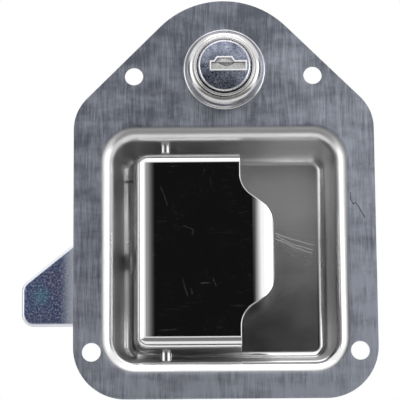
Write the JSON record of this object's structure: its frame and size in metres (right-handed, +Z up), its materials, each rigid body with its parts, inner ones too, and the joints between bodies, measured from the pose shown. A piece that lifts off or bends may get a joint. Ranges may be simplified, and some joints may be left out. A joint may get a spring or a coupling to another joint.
{
  "type": "tool box latch",
  "caption": "Flush paddle latch for a tool box: a dished plate with a hinged pull paddle, a slam bolt behind it and a cam lock above.",
  "frame": {"origin": "midway between the two lower screw holes, on the back face of the flange", "axes": "+X right as seen from outside, +Y into the box, +Z up towards the lock"},
  "size_m": [0.1286, 0.0433, 0.1445],
  "materials": {
    "plate_steel": "vertical brushed grain",
    "paddle_steel": "polished",
    "pin_steel": "smooth",
    "spring_steel": "drawn wire",
    "bolt_zinc": "blue zinc plating",
    "rivet_steel": "satin",
    "washer_steel": "zinc plating",
    "bezel_nickel": "polished nickel",
    "plug_zinc": "die cast",
    "cap_steel": "fine blasted",
    "wafer_brass": "stamped"
  },
  "bodies": {
    "plate": {"dish_plate": "plate_steel", "paddle_pin": "pin_steel", "paddle_spring": "spring_steel", "pivot_rivet": "rivet_steel", "pivot_washer_front": "washer_steel", "pivot_washer_rear": "washer_steel", "guide_rivet": "rivet_steel", "guide_washer_front": "washer_steel", "guide_washer_rear": "washer_steel", "spring_anchor": "plate_steel", "bolt_spring": "spring_steel", "lock_housing": "bezel_nickel", "lock_washer": "washer_steel", "lock_nut": "washer_steel"},
    "paddle_body": {"paddle": "paddle_steel"},
    "bolt_body": {"bolt": "bolt_zinc"},
    "plug_body": {"lock_plug": "plug_zinc", "plug_cap": "cap_steel", "shutter_pin": "pin_steel", "lock_cam": "bolt_zinc", "cam_washer": "washer_steel", "cam_nut": "washer_steel"},
    "shutter_body": {"key_shutter": "cap_steel"},
    "wafer_1_body": {"wafer_1": "wafer_brass"},
    "wafer_2_body": {"wafer_2": "wafer_brass"},
    "wafer_3_body": {"wafer_3": "wafer_brass"},
    "wafer_4_body": {"wafer_4": "wafer_brass"},
    "wafer_5_body": {"wafer_5": "wafer_brass"}
  },
  "joints": [
    {"name": "paddle_hinge", "type": "hinge", "parent": "plate", "child": "paddle_body", "pos_m": [-0.0212, 0.0075, 0.0368], "axis": [0, 0, -1], "range_deg": [0, 30], "stiffness_Nm_per_rad": 0.03, "springref_deg": -85.94, "deforming": ["paddle_spring"]},
    {"name": "bolt_pivot", "type": "hinge", "parent": "plate", "child": "bolt_body", "pos_m": [-0.02068, 0.0265, 0.0638], "axis": [0, -1, 0], "range_deg": [0, 24], "stiffness_Nm_per_rad": 0.1, "springref_deg": -34.38, "deforming": ["bolt_spring"]},
    {"name": "plug_turn", "type": "hinge", "parent": "plate", "child": "plug_body", "pos_m": [0.0004, 0, 0.1022], "axis": [0, 1, 0], "range_deg": [-90, 0]},
    {"name": "shutter_flap", "type": "hinge", "parent": "plug_body", "child": "shutter_body", "pos_m": [0.0004, -0.00685, 0.1005], "axis": [-1, 0, 0], "range_deg": [0, 75], "stiffness_Nm_per_rad": 0.0002, "springref_deg": -57.3},
    {"name": "wafer_1_slide", "type": "slide", "parent": "plug_body", "child": "wafer_1_body", "axis": [1, 0, 0], "range_m": [0, 0.0007]},
    {"name": "wafer_2_slide", "type": "slide", "parent": "plug_body", "child": "wafer_2_body", "axis": [-1, 0, 0], "range_m": [0, 0.0007]},
    {"name": "wafer_3_slide", "type": "slide", "parent": "plug_body", "child": "wafer_3_body", "axis": [1, 0, 0], "range_m": [0, 0.0007]},
    {"name": "wafer_4_slide", "type": "slide", "parent": "plug_body", "child": "wafer_4_body", "axis": [-1, 0, 0], "range_m": [0, 0.0007]},
    {"name": "wafer_5_slide", "type": "slide", "parent": "plug_body", "child": "wafer_5_body", "axis": [1, 0, 0], "range_m": [0, 0.0007]}
  ],
  "couplings": [
    {"joint": "bolt_pivot", "follows": "paddle_hinge", "ratio": 0.8}
  ]
}
